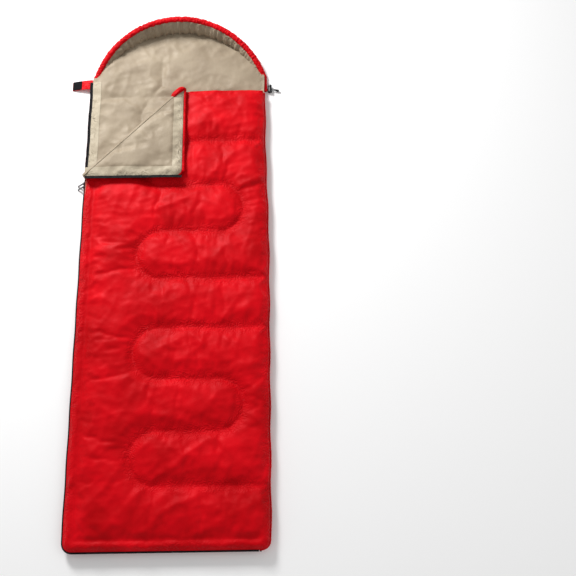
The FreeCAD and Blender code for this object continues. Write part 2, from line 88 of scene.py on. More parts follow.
# The hood's rim: an arc that rises from the shoulders to the crown.
RIM_THICK = 24 * MM
RIM_TUBE = 9 * MM
RIM_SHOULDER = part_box("casing_end")[0][2] + RIM_TUBE
RIM_RUN = HOOD_LENGTH - RIM_THICK / 2
RIM_RISE = 76 * MM
RIM_REACH = HALF - RIM_THICK / 2
RIM_SLOPE = math.hypot(RIM_RUN, RIM_RISE)
RIM_RADIUS = (RIM_REACH ** 2 + RIM_SLOPE ** 2) / (2 * RIM_SLOPE)
RIM_TURN = math.asin(RIM_REACH / RIM_RADIUS)


# ---------------------------------------------------------------- materials

NOISE_RANGE = (0.3, 0.7)    # where most of a noise texture's values lie
WAVE_PERIOD = 0.314         # a wave texture's period at scale 1, in metres
WEAVE_PITCH = 0.45 * MM
WEAVE_DEPTH = 0.12 * MM
CRINKLE_SCALE = 70.0
CRINKLE_DEPTH = 1.2 * MM
PUCKER_REACH = 42 * MM
PUCKER_PITCH = 19 * MM
PUCKER_SWAY = 1.6 * PUCKER_PITCH
PUCKER_DEPTH = 2.2 * MM
CLOTH_SPECULAR = 0.28
BRIGHTER = 1.8              # the lightest shade of a plain black material over its darkest


def shader_of(material):
    return material.node_tree.nodes["Principled BSDF"]


def new_material(name, roughness, **extra):
    """A material with its shader's roughness, and any other of its inputs, set."""
    material = bpy.data.materials.new(name)
    material.use_nodes = True
    shader = shader_of(material)
    shader.inputs["Roughness"].default_value = roughness
    for key, value in extra.items():
        shader.inputs[key.replace("_", " ")].default_value = value
    return material


def link(material, start, end):
    material.node_tree.links.new(start, end)


def node(material, kind, **values):
    """A shader node with some of its inputs or settings set."""
    made = material.node_tree.nodes.new(f"ShaderNode{kind}")
    for key, value in values.items():
        if key in made.inputs:
            made.inputs[key].default_value = value
        else:
            setattr(made, key, value)
    return made


def maths(material, operation, *values):
    """The result of a Math node on sockets and plain numbers."""
    made = node(material, "Math", operation=operation)
    for socket, value in zip(made.inputs, values):
        if isinstance(value, float):
            socket.default_value = value
        else:
            link(material, value, socket)
    return made.outputs["Value"]


def ranged(material, value, start, end, **settings):
    """The value stretched from one range to another."""
    spread = node(material, "MapRange", **settings)
    for key, number in zip(("From Min", "From Max", "To Min", "To Max"), (*start, *end)):
        spread.inputs[key].default_value = number
    link(material, value, spread.inputs["Value"])
    return spread.outputs["Result"]


def coordinates(material):
    return node(material, "TexCoord").outputs["Object"]


def grain(material, place, scale, **settings):
    """Fine noise as a height."""
    texture = node(material, "TexNoise", Scale=scale, **settings)
    link(material, place, texture.inputs["Vector"])
    return texture.outputs["Fac"]


def blotches(material, place, scale, low, high):
    """Soft noise, stretched to run from low to high."""
    return ranged(material, grain(material, place, scale, Detail=4.0), NOISE_RANGE, (low, high))


def mottled(material, place, dark, bright, scale):
    """Sets a base colour that varies softly from dark to bright."""
    mix = node(material, "Mix", data_type="RGBA")
    mix.inputs["A"].default_value = (*dark, 1)
    mix.inputs["B"].default_value = (*bright, 1)
    link(material, blotches(material, place, scale, 0.0, 1.0), mix.inputs["Factor"])
    link(material, mix.outputs["Result"], shader_of(material).inputs["Base Color"])


def threads(material, place, pitch):
    """Warp and weft of a plain weave, as a height."""
    heights = []
    for direction in ("X", "Y"):
        wave = node(material, "TexWave", Scale=WAVE_PERIOD / pitch, Distortion=0.4, bands_direction=direction)
        wave.inputs["Detail Scale"].default_value = 2.0
        link(material, place, wave.inputs["Vector"])
        heights.append(wave.outputs["Fac"])
    return maths(material, "MULTIPLY", *heights)


def bump(material, height, distance, strength, below=None):
    """A normal for this height, on top of the one below if there is one."""
    made = node(material, "Bump", Strength=strength, Distance=distance)
    link(material, height, made.inputs["Height"])
    if below:
        link(material, below, made.inputs["Normal"])
    return made.outputs["Normal"]


def puckers(material, place):
    """Short ridges across a seam that fade away from it, as a height.
    Pieces carry how far each point is from its seam, "seam", and along it, "run", in metres."""
    away = node(material, "Attribute", attribute_name="seam").outputs["Fac"]
    along = node(material, "Attribute", attribute_name="run").outputs["Fac"]
    fade = ranged(material, away, (0.0, PUCKER_REACH), (1.0, 0.0), interpolation_type="SMOOTHSTEP")
    sway = blotches(material, place, 26.0, -PUCKER_SWAY, PUCKER_SWAY)
    turn = maths(material, "MULTIPLY", maths(material, "ADD", along, sway), math.tau / PUCKER_PITCH)
    patches = maths(material, "MULTIPLY", blotches(material, place, 11.0, 0.1, 1.0), fade)
    return maths(material, "MULTIPLY", maths(material, "SINE", turn), patches)


def cloth_material(name, dark, bright, roughness, crinkle, tint):
    """Woven cloth: colour that varies softly, a fine weave, small crinkles, and puckers beside seams."""
    material = new_material(name, roughness, Specular_IOR_Level=CLOTH_SPECULAR, Specular_Tint=(*tint, 1))
    shader = shader_of(material)
    place = coordinates(material)
    mottled(material, place, dark, bright, scale=9.0)
    crinkles = grain(material, place, CRINKLE_SCALE, Detail=5.0, Distortion=1.2)
    crinkled = bump(material, crinkles, CRINKLE_DEPTH, crinkle)
    gathered = bump(material, puckers(material, place), PUCKER_DEPTH, 0.6, crinkled)
    woven = bump(material, threads(material, place, WEAVE_PITCH), WEAVE_DEPTH, 0.25, gathered)
    link(material, woven, shader.inputs["Normal"])
    worn = blotches(material, place, 30.0, roughness - 0.06, roughness + 0.08)
    link(material, worn, shader.inputs["Roughness"])
    return material


RED = cloth_material("red_polyester", dark=(0.42, 0.0, 0.002), bright=(0.64, 0.001, 0.006),
                     roughness=0.52, crinkle=0.35, tint=(1.0, 0.22, 0.25))
LINER = cloth_material("beige_lining", dark=(0.25, 0.195, 0.135), bright=(0.345, 0.28, 0.2),
                       roughness=0.5, crinkle=0.5, tint=(1.0, 0.93, 0.82))
FACING = cloth_material("pale_facing", dark=(0.36, 0.30, 0.215), bright=(0.44, 0.38, 0.28),
                        roughness=0.5, crinkle=0.3, tint=(1.0, 0.95, 0.85))


def plain_material(name, colour, roughness, specular=0.25, fineness=400.0, depth=0.1 * MM):
    """Moulded, woven or painted black: colour and roughness that vary a little, and a fine grain."""
    material = new_material(name, roughness, Specular_IOR_Level=specular)
    shader = shader_of(material)
    place = coordinates(material)
    mottled(material, place, colour, [value * BRIGHTER for value in colour], scale=60.0)
    worn = blotches(material, place, 90.0, roughness - 0.08, roughness + 0.08)
    link(material, worn, shader.inputs["Roughness"])
    fine = grain(material, place, fineness, Detail=3.0)
    link(material, bump(material, fine, depth, 0.5), shader.inputs["Normal"])
    return material


def woven_material(name, colour, roughness, pitch, depth):
    """Tape, cord or thread with its weave."""
    material = plain_material(name, colour, roughness, specular=0.12)
    weave = threads(material, coordinates(material), pitch)
    link(material, bump(material, weave, depth, 0.7), shader_of(material).inputs["Normal"])
    return material


BLACK = plain_material("black_plastic", (0.008, 0.008, 0.009), roughness=0.38, specular=0.4)
COIL = plain_material("zipper_coil", (0.006, 0.006, 0.007), roughness=0.42)
METAL = plain_material("black_metal", (0.010, 0.010, 0.011), roughness=0.3, specular=0.45)
HOOKS = plain_material("hook_and_loop", (0.005, 0.005, 0.006), roughness=0.9, specular=0.1,
                       fineness=900.0, depth=0.9 * MM)
TAPE = woven_material("zipper_tape", (0.006, 0.006, 0.007), roughness=0.75, pitch=0.8 * MM, depth=0.2 * MM)
CORD = woven_material("drawcord", (0.014, 0.014, 0.015), roughness=0.65, pitch=0.9 * MM, depth=0.3 * MM)
THREAD = woven_material("red_thread", (0.26, 0.0, 0.004), roughness=0.6, pitch=0.4 * MM, depth=0.1 * MM)

WORLD_STRENGTH = 0.5
PAPER_WHITE = (0.93, 0.93, 0.93, 1)
FLOOR_SIDE = 14
LIGHTS = {"key": ((-1.4, 2.7, 2.2), 150, 1.0), "fill": ((2.2, -0.6, 2.8), 14, 2.2)}    # place, watts, side
LIT_PLACE = Vector((0, 0.1, 0))
CAMERA_PLACE = (0.438, -0.910, 3.063)
CAMERA_TILT = math.radians(90 - 73.1)
CAMERA_TURN = math.radians(-0.85)


def look():
    """Floor, light and the camera where the photographer stood."""
    scene = bpy.context.scene
    world = bpy.data.worlds.new("studio")
    world.use_nodes = True
    background = world.node_tree.nodes["Background"]
    background.inputs["Color"].default_value = (1, 1, 1, 1)
    background.inputs["Strength"].default_value = WORLD_STRENGTH
    scene.world = world
    bpy.ops.mesh.primitive_plane_add(size=FLOOR_SIDE, location=(0, 0, cad_box[0][2]))
    floor = bpy.context.object
    floor.name = "floor"
    paper = new_material("floor_paper", 0.9)
    shader_of(paper).inputs["Base Color"].default_value = PAPER_WHITE
    floor.data.materials.append(paper)
    for name, (place, power, size) in LIGHTS.items():
        lamp = bpy.data.lights.new(name, "AREA")
        lamp.energy = power
        lamp.size = size
        holder = bpy.data.objects.new(name, lamp)
        holder.location = place
        holder.rotation_euler = (LIT_PLACE - Vector(place)).to_track_quat("-Z", "Y").to_euler()
        scene.collection.objects.link(holder)
    camera = bpy.data.objects.new("camera", bpy.data.cameras.new("camera"))
    camera.data.lens = 50
    camera.data.sensor_width = 36
    camera.location = CAMERA_PLACE
    camera.rotation_euler = (CAMERA_TILT, 0, CAMERA_TURN)
    scene.collection.objects.link(camera)
    scene.camera = camera
    scene.view_settings.view_transform = "Standard"


look()


# ---------------------------------------------------------------- quilting lines

ROW_FIRST = FOOT + 223 * MM
ROW_PITCH = 200 * MM
ROWS_IN_RUN = 4
TURN_LEFT = LEFT + 225 * MM
TURN_RIGHT = RIGHT - 100 * MM
TURN_STEPS = 14
EDGE_STITCH = 37 * MM
WANDER_SCALE = 7
WANDER_SEED = 3.0


def ripple(points, scale, seed):
    """Smooth noise from -1 to 1 at each point."""
    return np.array([noise.noise(Vector((x * scale, y * scale, seed))) for x, y in points])


def serpentine(first_row):
    """One run of quilting: from the right edge to and fro over four rows and back to the edge."""
    rows = [ROW_FIRST + ROW_PITCH * (first_row + step) for step in range(ROWS_IN_RUN)]
    radius = ROW_PITCH / 2
    points = [(RIGHT, rows[0])]
    for index, (low, high) in enumerate(zip(rows, rows[1:])):
        side = -1 if index % 2 == 0 else 1
        turn = TURN_LEFT + radius if side < 0 else TURN_RIGHT - radius
        for step in range(TURN_STEPS + 1):
            angle = math.pi * (step / TURN_STEPS - 0.5)
            x = turn + side * radius * math.cos(angle)
            points.append((x, (low + high) / 2 + radius * math.sin(angle)))
    points.append((RIGHT, rows[-1]))
    return points


def wander(points, spacing=25 * MM, size=6 * MM):
    """The same line in short steps, drifting a little to each side as sewn lines do."""
    line = [points[0]]
    for (ax, ay), (bx, by) in zip(points, points[1:]):
        steps = max(1, round(math.hypot(bx - ax, by - ay) / spacing))
        for step in range(1, steps + 1):
            line.append((ax + (bx - ax) * step / steps, ay + (by - ay) * step / steps))
    drift = size * ripple(line, WANDER_SCALE, WANDER_SEED)
    return [(x, y + float(aside)) for (x, y), aside in zip(line, drift)]


QUILTING = [wander(serpentine(first)) for first in (0, ROWS_IN_RUN)]
EDGE_LINE = wander([(LEFT + EDGE_STITCH, FLAP_Y), (LEFT + EDGE_STITCH, FOOT + EDGE_STITCH),
                    (RIGHT - EDGE_STITCH, FOOT + EDGE_STITCH)], size=2 * MM)


def nearest(points, lines):
    """For each point: its distance to the nearest of the lines, and how far along the lines that is."""
    away = np.full(len(points), np.inf)
    along = np.zeros(len(points))
    run = 0.0
    for line in lines:
        for start, end in zip(line, line[1:]):
            a, b = np.array(start), np.array(end)
            length = float(np.linalg.norm(b - a))
            if length == 0:
                continue
            share = np.clip((points - a) @ (b - a) / length ** 2, 0, 1)
            gap = np.linalg.norm(points - a - share[:, None] * (b - a), axis=1)
            closer = gap < away
            away[closer] = gap[closer]
            along[closer] = run + share[closer] * length
            run += length
    return away, along


# Crossing families of creases: how fine each is, and which way it runs in degrees.
CREASES = ((8.0, 25), (12.0, -35), (18.0, 70), (26.0, 12), (34.0, -50))
CREASE_LONG = 0.4
CREASE_SHARP = 3.2
CREASE_SEED = 3.7
CREASE_FADE = 0.45
CREASE_TALLEST = 1.6


def creased(points, seed):
    """Crests of crossing folds, 0 to 1, each longer than it is wide."""
    crests = np.zeros(len(points))
    for index, (scale, turn) in enumerate(CREASES):
        angle = math.radians(turn)
        along = points @ np.array([math.cos(angle), math.sin(angle)])
        across = points @ np.array([-math.sin(angle), math.cos(angle)])
        stretched = np.column_stack([along * CREASE_LONG, across])
        field = ripple(stretched, scale, seed + index * CREASE_SEED)
        crests += np.clip(1 - CREASE_SHARP * np.abs(field), 0, 1) ** 1.5 / (1 + CREASE_FADE * index)
    return crests / CREASE_TALLEST


def swell(distance, reach):
    """0 at a seam, rising steeply and then levelling off at 1 past its reach."""
    share = np.clip(distance / reach, 0, 1)
    return np.sqrt(1 - (1 - share) ** 2)


# How far the quilting draws the edges in: at the shoulder, at each row, and the same on the left.
DRAW_FROM, DRAW_TO = 150 * MM, 700 * MM
DRAW_FADE = 90 * MM
DRAW_SHOULDER = 11 * MM
DRAW_ROW = 3.5 * MM
DRAW_LEFT = 1.5 * MM


def drawn_in(points):
    """The points with the panel's edges pulled in by the quilting, on the right more towards the shoulder."""
    x, y = points[:, 0], points[:, 1]
    rise = np.clip((y - DRAW_FROM) / (DRAW_TO - DRAW_FROM), 0, 1)
    fade = np.clip((HINGE_Y + DRAW_FADE - y) / DRAW_FADE, 0, 1)
    rows = (1 + np.cos(math.tau * (y - ROW_FIRST) / ROW_PITCH)) / 2
    pull = (DRAW_SHOULDER * rise ** 2 * (3 - 2 * rise) + DRAW_ROW * rows) * fade
    push = DRAW_LEFT * rows * fade
    moved = points.copy()
    moved[:, 0] = x - pull * np.clip(x / RIGHT, 0, 1) ** 2 + push * np.clip(x / LEFT, 0, 1) ** 4
    return moved


# ---------------------------------------------------------------- cloth meshes

GRID = 9 * MM
CUT_TOLERANCE = 1e-6
WELD_SHARE = 0.2

# The simulated cloth: how it is held, how stiff it is, and for how long it settles.
BILLOW_FRAMES = 14
CLOTH_SETTINGS = {
    "quality": 5, "mass": 0.12, "tension_stiffness": 25, "compression_stiffness": 25,
    "shear_stiffness": 12, "bending_stiffness": 0.02, "air_damping": 3,
}


def arc(centre, radius, start, end, steps):
    """Points on an arc, with its angles in degrees."""
    angles = [math.radians(start + (end - start) * step / steps) for step in range(steps + 1)]
    return [(centre[0] + radius * math.cos(angle), centre[1] + radius * math.sin(angle)) for angle in angles]


def panel(outline):
    """Points and faces of a sheet cut to a convex outline that runs anticlockwise."""
    low, high = np.min(outline, axis=0), np.max(outline, axis=0)
    size, middle = high - low, (high + low) / 2
    columns, rows = round(size[0] / GRID), round(size[1] / GRID)
    bm = bmesh.new()
    bmesh.ops.create_grid(bm, x_segments=columns, y_segments=rows, size=0.5)
    for vert in bm.verts:
        vert.co = Vector((middle[0] + vert.co.x * size[0], middle[1] + vert.co.y * size[1], 0))
    for (ax, ay), (bx, by) in zip(outline, outline[1:] + outline[:1]):
        bmesh.ops.bisect_plane(bm, geom=bm.verts[:] + bm.edges[:] + bm.faces[:], dist=CUT_TOLERANCE,
                               plane_co=(ax, ay, 0), plane_no=(by - ay, ax - bx, 0), clear_outer=True)
    bmesh.ops.remove_doubles(bm, verts=bm.verts[:], dist=GRID * WELD_SHARE)
    points = np.array([vert.co[:2] for vert in bm.verts])
    bm.verts.index_update()
    faces = [[vert.index for vert in face.verts] for face in bm.faces]
    bm.free()
    return points, faces


def rim_of(faces):
    """The directed edges that only one face has."""
    edges = {(a, b) for face in faces for a, b in zip(face, face[1:] + face[:1])}
    return sorted((a, b) for a, b in edges if (b, a) not in edges)


def outward(points, rim):
    """The direction straight out of the panel at each of its rim's points."""
    away = np.zeros((len(points), 3))
    for a, b in rim:
        step = points[b] - points[a]
        away[[a, b], 0] += step[1]
        away[[a, b], 1] -= step[0]
    length = np.linalg.norm(away, axis=1, keepdims=True)
    return away / np.where(length > 0, length, 1)


def add_piece(name, points, faces, material, smooth=1):
    """A new mesh object, smoothed by subdivision unless that is 0."""
    mesh = bpy.data.meshes.new(name)
    mesh.from_pydata([tuple(point) for point in points], [], faces)
    mesh.materials.append(material)
    mesh.shade_smooth()
    piece = bpy.data.objects.new(name, mesh)
    bpy.context.scene.collection.objects.link(piece)
    if smooth:
        modifier = piece.modifiers.new("smooth", "SUBSURF")
        modifier.levels = smooth
        modifier.render_levels = smooth
    return piece


def between(name, low, high, faces, material, bulge, seams):
    """A closed piece between two surfaces that share their faces, with an edge that bulges outwards.
    The seams are each point's distance from a seam, and its place along it."""
    rim = rim_of(faces)
    count = len(high)
    ring = sorted({a for a, b in rim})
    place = {point: 2 * count + index for index, point in enumerate(ring)}
    reach = np.broadcast_to(bulge, count)[ring]
    middle = (low[ring] + high[ring]) / 2 + outward(high[:, :2], rim)[ring] * reach[:, None]
    sides = [[a + count, b + count, place[b], place[a]] for a, b in rim]
    sides += [[place[a], place[b], b, a] for a, b in rim]
    under = [[point + count for point in reversed(face)] for face in faces]
    piece = add_piece(name, np.vstack([high, low, middle]), faces + under + sides, material)
    for key, values in zip(("seam", "run"), seams):
        layer = piece.data.attributes.new(key, "FLOAT", "POINT")
        layer.data.foreach_set("value", np.concatenate([values, values, values[ring]]).astype(np.float32))
    return piece


def raised(points, heights):
    """The flat points at these heights."""
    return np.column_stack([points, heights])


def billow(points, heights, faces, held, slack, lift, most):
    """Where slack cloth comes to rest when it is held at some points and the filling lifts the rest."""
    start = raised(points, heights)
    mesh = bpy.data.meshes.new("billow")
    mesh.from_pydata([tuple(point) for point in start], [], faces)
    cloth = bpy.data.objects.new("billow", mesh)
    scene = bpy.context.scene
    scene.collection.objects.link(cloth)
    group = cloth.vertex_groups.new(name="held")
    group.add([int(index) for index in np.flatnonzero(held)], 1.0, "REPLACE")
    modifier = cloth.modifiers.new("cloth", "CLOTH")
    settings = modifier.settings
    for key, value in CLOTH_SETTINGS.items():
        setattr(settings, key, value)
    settings.shrink_min = -slack
    settings.vertex_group_mass = group.name
    modifier.point_cache.frame_end = BILLOW_FRAMES
    modifier.collision_settings.use_collision = False
    scene.gravity = (0, 0, lift)
    for frame_number in range(1, BILLOW_FRAMES + 1):
        scene.frame_set(frame_number)
    settled = cloth.evaluated_get(bpy.context.evaluated_depsgraph_get()).data
    found = np.empty(len(points) * 3)
    settled.vertices.foreach_get("co", found)
    bpy.data.objects.remove(cloth)
    scene.frame_set(1)
    moved = found.reshape(-1, 3) - start
    return start + np.clip(moved, -most, most)


def height_over(piece):
    """A function that gives the height of the piece's upper surface at x, y."""
    tree = BVHTree.FromObject(piece, bpy.context.evaluated_depsgraph_get())

    def height(x, y):
        hit = tree.ray_cast(Vector((x, y, 1.0)), Vector((0, 0, -1)))[0]
        if hit is None:
            hit = tree.find_nearest(Vector((x, y, FOLD_Z)))[0]
        return hit.z
    return height


def loft(name, rings, material):
    """A closed piece lofted through rings that all have the same number of points."""
    count = len(rings[0])
    last = (len(rings) - 1) * count
    faces = []
    for start in range(0, last, count):
        for step in range(count):
            a, b = start + step, start + (step + 1) % count
            faces.append([a, b, b + count, a + count])
    faces.append(list(range(count))[::-1])
    faces.append(list(range(last, last + count)))
    piece = add_piece(name, [point for ring in rings for point in ring], faces, material)
    tidy = bmesh.new()
    tidy.from_mesh(piece.data)
    bmesh.ops.recalc_face_normals(tidy, faces=tidy.faces[:])
    tidy.to_mesh(piece.data)
    tidy.free()
    return piece


def normals(line):
    """The direction to the left of a line of x, y points at each of them."""
    line = np.array(line)
    along = np.gradient(line, axis=0)
    along /= np.linalg.norm(along, axis=1, keepdims=True)
    return np.column_stack([-along[:, 1], along[:, 0]])


def resampled(line, spacing):
    """The same line with its points spaced evenly."""
    line = np.array(line)
    run = np.concatenate([[0], np.cumsum(np.linalg.norm(np.diff(line, axis=0), axis=1))])
    steps = np.linspace(0, run[-1], max(2, round(run[-1] / spacing) + 1))
    return np.column_stack([np.interp(steps, run, line[:, 0]), np.interp(steps, run, line[:, 1])])


# Unevenness of narrow strips: two sizes of noise and their seeds.
TUCKS = ((34.0, 7.0), (80.0, 9.0))
RIBBON_COLUMNS = 6


def ribbon(name, line, right, left, thickness, height, material, tuck=0.0, spacing=5 * MM):
    """A flat strip along a line, from one offset to the other across it, lying at the heights given."""
    line = resampled(line, spacing)
    aside = normals(line)
    offsets = np.linspace(right, left, RIBBON_COLUMNS + 1)
    places = np.array([place + across * offset for place, across in zip(line, aside) for offset in offsets])
    coarse, fine = [tuck * ripple(places, scale, seed) for scale, seed in TUCKS]
    heights = np.array([height(x, y) for x, y in places]) + coarse + fine / 2
    faces = []
    for row in range(len(line) - 1):
        for column in range(RIBBON_COLUMNS):
            a = row * (RIBBON_COLUMNS + 1) + column
            b = a + RIBBON_COLUMNS + 1
            faces.append([a + 1, b + 1, b, a])
    run = np.repeat(np.arange(len(line)) * spacing, RIBBON_COLUMNS + 1)
    gap = np.tile(np.abs(offsets), len(line))
    return between(name, raised(places, heights), raised(places, heights + thickness), faces, material,
                   bulge=0, seams=(gap, run))


def tube(name, path, radius, material, wide=1.0, tall=1.0, wobble=0.12, sway=(0.45, 1.0), spokes=12):
    """A soft tube along a path of x, y, z points, with small gathers: how much, and how fast each way."""
    path = [Vector(point) for point in path]
    along, around = sway
    rings = []
    for index, place in enumerate(path):
        ahead = path[min(index + 1, len(path) - 1)] - path[max(index - 1, 0)]
        side = ahead.cross(Vector((0, 0, 1))).normalized()
        up = side.cross(ahead).normalized()
        ring = []
        for spoke in range(spokes):
            angle = math.tau * spoke / spokes
            across, over = math.cos(angle), math.sin(angle)
            gather = noise.noise(Vector((index * along, across * around, over * around)))
            reach = radius * (1 + wobble * gather)
            ring.append(tuple(place + side * across * reach * wide + up * over * reach * tall))
        rings.append(ring)
    return loft(name, rings, material)


# ---------------------------------------------------------------- quilts

FOLD_GAP = 1.5 * MM
FOLD_START = (LEFT, FLAP_Y)
FOLD_END = (FLAP_X, HEM)
FOOT_LEFT = arc((LEFT + CORNER, FOOT + CORNER), CORNER, 180, 270, 6)
FOOT_RIGHT = arc((RIGHT - CORNER, FOOT + CORNER), CORNER, 270, 360, 6)
STITCH_HALF = 5 * MM
EXTRA_DIP = 4 * MM
CHANNEL_REACH = 62 * MM
EDGE_LINE_REACH = 35 * MM
RIM_SWELL_REACH = 55 * MM
QUILT_LIFT = 4.0
FLAP_LIFT = 5.0
CREASE_BIAS = 0.3
MOST_OVER_TOP = 13 * MM
SEAM_RUN = 22 * MM
UNDER_FLAP_REACH = 70 * MM

# The sewn lines that show on the lining at the head.
HEAD_SEAMS = [
    [(RIGHT, HEM + 5 * MM), (-0.30, HEM - 10 * MM)],
    [(-0.155, HEM - 230 * MM), (-0.160, HEM - 90 * MM), (-0.120, HEM - 5 * MM), (-0.080, HEM + 45 * MM),
     (-0.075, HEM + 135 * MM)],
]


def rim_points(points, faces):
    """True at the panel's rim."""
    found = np.zeros(len(points), bool)
    found[sorted({a for a, b in rim_of(faces)})] = True
    return found


def quilted(points, faces, extra, edges, floor, peak, slack, most, folds):
    """A quilted surface over the panel: low along its seams, round and creased between them."""
    stitch, run = nearest(points, QUILTING)
    rim, rim_run = nearest(points, edges)
    edge_line = nearest(points, [EDGE_LINE])[0]
    dip = np.minimum(stitch, nearest(points, extra)[0] + EXTRA_DIP)
    plump = (0.22 + 0.78 * swell(dip, CHANNEL_REACH)) * (0.8 + 0.2 * swell(edge_line, EDGE_LINE_REACH))
    plump *= 1 + 0.14 * ripple(points, 6.0, 2.0) + 0.07 * ripple(points, 17.0, 5.0)
    share = np.minimum(plump, 0.1 + 0.9 * swell(rim, RIM_SWELL_REACH))
    held = (dip < STITCH_HALF + EXTRA_DIP / 2) | rim_points(points, faces)
    surface = billow(points, floor + (peak - floor) * share, faces, held, slack, QUILT_LIFT, most)
    fade = np.clip(np.minimum(dip, rim) / (25 * MM), 0, 1)
    surface[:, 2] += folds * (creased(points, floor * 1000) - CREASE_BIAS) * fade
    seams = (np.minimum(stitch, rim), np.where(stitch < rim, run, rim_run))
    return surface, seams, share


def edge_gap(points, sides):
    """How far each point lies from the nearest of these straight sides."""
    return nearest(points, [list(side) for side in sides])[0]


def closing(points, heights, seam_height):
    """Heights that run down or up to the seam along the right edge."""
    share = np.clip((points[:, 0] - RIGHT + SEAM_RUN) / SEAM_RUN, 0, 1) ** 2
    return heights + (seam_height - heights) * share


def under_flap(points):
    """1 where the folded corner lies on the quilt, falling to 0 a hand's width away from it."""
    gap_x = points[:, 0] - (FLAP_X + 12 * MM)
    gap_y = FLAP_Y - 15 * MM - points[:, 1]
    away = np.hypot(np.maximum(gap_x, 0), np.maximum(gap_y, 0))
    share = np.clip(1 - away / UNDER_FLAP_REACH, 0, 1)
    return share ** 2 * (3 - 2 * share)


def edge_bulge(points, size):
    """The outward bulge of a quilt's edge, none where it meets the side seam."""
    return np.where(points[:, 0] > RIGHT - 5 * MM, 0.3 * MM, size)


def top_quilt():
    """The red quilt on top with its lining, cut off along the fold."""
    fold_end, fold_start = (FLAP_X + FOLD_GAP, HEM), (LEFT, FLAP_Y - FOLD_GAP)
    open_edge = [fold_start] + FOOT_LEFT + FOOT_RIGHT + [(RIGHT, HEM)]
    points, faces = panel(open_edge + [fold_end])
    high, seams, share = quilted(points, faces, extra=[EDGE_LINE], edges=[open_edge],
                                 floor=TOP_LOW[2] + 5 * MM, peak=TOP_HIGH[2] - 4 * MM,
                                 slack=0.018, most=11 * MM, folds=8 * MM)
    pressed = under_flap(points)
    high[:, 2] = TOP_LOW[2] + (high[:, 2] - TOP_LOW[2]) * (1 - 0.3 * pressed)
    high[:, 2] = np.minimum(high[:, 2], TOP_HIGH[2] + MOST_OVER_TOP - MOST_OVER_TOP * pressed)
    relief = 7 * MM * (1 - share) - 5 * MM * (creased(points, 60.0) - CREASE_BIAS) * share
    low = closing(points, TOP_LOW[2] + np.maximum(relief, -1 * MM), MIDDLE + 1 * MM)
    bottom, inner, outer = [drawn_in(raised(points, low + gap)) for gap in (0, CLOTH_THICK, 2 * CLOTH_THICK)]
    red = between("top_quilt", inner, drawn_in(high), faces, RED, edge_bulge(points, 3 * MM), seams)
    lining = between("top_lining", bottom, outer, faces, LINER, 0, seams)
    return red, lining


def floor_quilt():
    """The quilt underneath and the hood's floor in one, with its lining."""
    reach = HOOD_LENGTH - RIM_THICK / 2
    radius = (HALF ** 2 + reach ** 2) / (2 * reach)
    centre = HINGE_Y + reach - radius
    shoulder = math.degrees(math.asin((HINGE_Y - centre) / radius))
    crown = arc((0, centre), radius, shoulder, 180 - shoulder, 24)
    points, faces = panel(FOOT_LEFT + FOOT_RIGHT + crown)
    high, seams, share = quilted(points, faces, extra=[wander(line) for line in HEAD_SEAMS],
                                 edges=[[FOOT_RIGHT[-1]] + crown], floor=BASE_HIGH[2] - 9 * MM,
                                 peak=BASE_HIGH[2] - 2 * MM, slack=0.012, most=3 * MM, folds=7 * MM)
    high[:, 2] = np.minimum(high[:, 2], MIDDLE + 0.5 * MM)
    high[:, 2] = closing(points, high[:, 2], MIDDLE - 1 * MM)
    low = drawn_in(raised(points, BASE_LOW[2] + 0.5 * MM + 5 * MM * (1 - share)))
    thin = np.array([0, 0, CLOTH_THICK])
    high = drawn_in(high)
    red = between("floor_quilt", low, high - thin, faces, RED, edge_bulge(points, 4 * MM), seams)
    lining = between("floor_lining", high - 2 * thin, high, faces, LINER, 0, seams)
    return red, lining


# ---------------------------------------------------------------- folded corner

FLAP_EDGE = 12 * MM
FLAP_ROLL_REACH = 30 * MM
FACING_WIDE = 39 * MM
OUT = np.array([-1, 1]) / math.sqrt(2)
RED_INSIDE = 12 * MM
ROLL_REACH = 16 * MM
ROLL_SPOKES = 20
ROLL_OVERLAP = 0.02
BULGE_LONG = 60 * MM
BULGE_LEAST = 0.03


def flap():
    """The turned-back corner: its shell underneath and its creased lining on top."""
    corner = arc((FLAP_X - CORNER, FLAP_Y + CORNER), CORNER, 270, 360, 6)
    start, end = (LEFT + FOLD_GAP, FLAP_Y), (FLAP_X, HEM - FOLD_GAP)
    open_edge = [start] + corner + [end]
    points, faces = panel(open_edge)
    rim, run = nearest(points, [open_edge])
    fold_gap = edge_gap(points, [(start, end)])
    share = 0.15 + 0.85 * swell(rim, 60 * MM)
    share *= 1 + 0.1 * ripple(points, 9.0, 4.0)
    sewn = (rim > FACING_WIDE - 4 * MM) & (rim < FACING_WIDE + 4 * MM)
    base, peak = FLAP_LOW[2] + FLAP_EDGE, FLAP_HIGH[2] - 7 * MM
    high = billow(points, base + (peak - base) * share, faces, rim_points(points, faces) | sewn,
                  0.045, FLAP_LIFT, 6 * MM)
    turn = np.clip(1 - fold_gap / FLAP_ROLL_REACH, 0, 1) ** 2 * np.clip(rim / FLAP_ROLL_REACH, 0, 1)
    high[:, 2] += 11 * MM * (creased(points, 40.0) - 0.35) * np.clip(rim / (20 * MM), 0, 1) * (1 - turn)
    high[:, 2] += (FLAP_HIGH[2] - 3 * MM - high[:, 2]) * turn
    high[:, 2] = np.minimum(high[:, 2], FLAP_HIGH[2] + 3.5 * MM)
    thin = np.array([0, 0, CLOTH_THICK])
    low = raised(points, FLAP_LOW[2] + 0.5 * MM + 4 * MM * (1 - share))
    bulge = np.where(fold_gap > 6 * MM, 7 * MM, 0)
    shell = between("flap_quilt", low, high - thin, faces, RED, bulge, (rim, run))
    lining = between("flap_lining", high - 2 * thin, high, faces, LINER, 0, (rim, run))
    return shell, lining


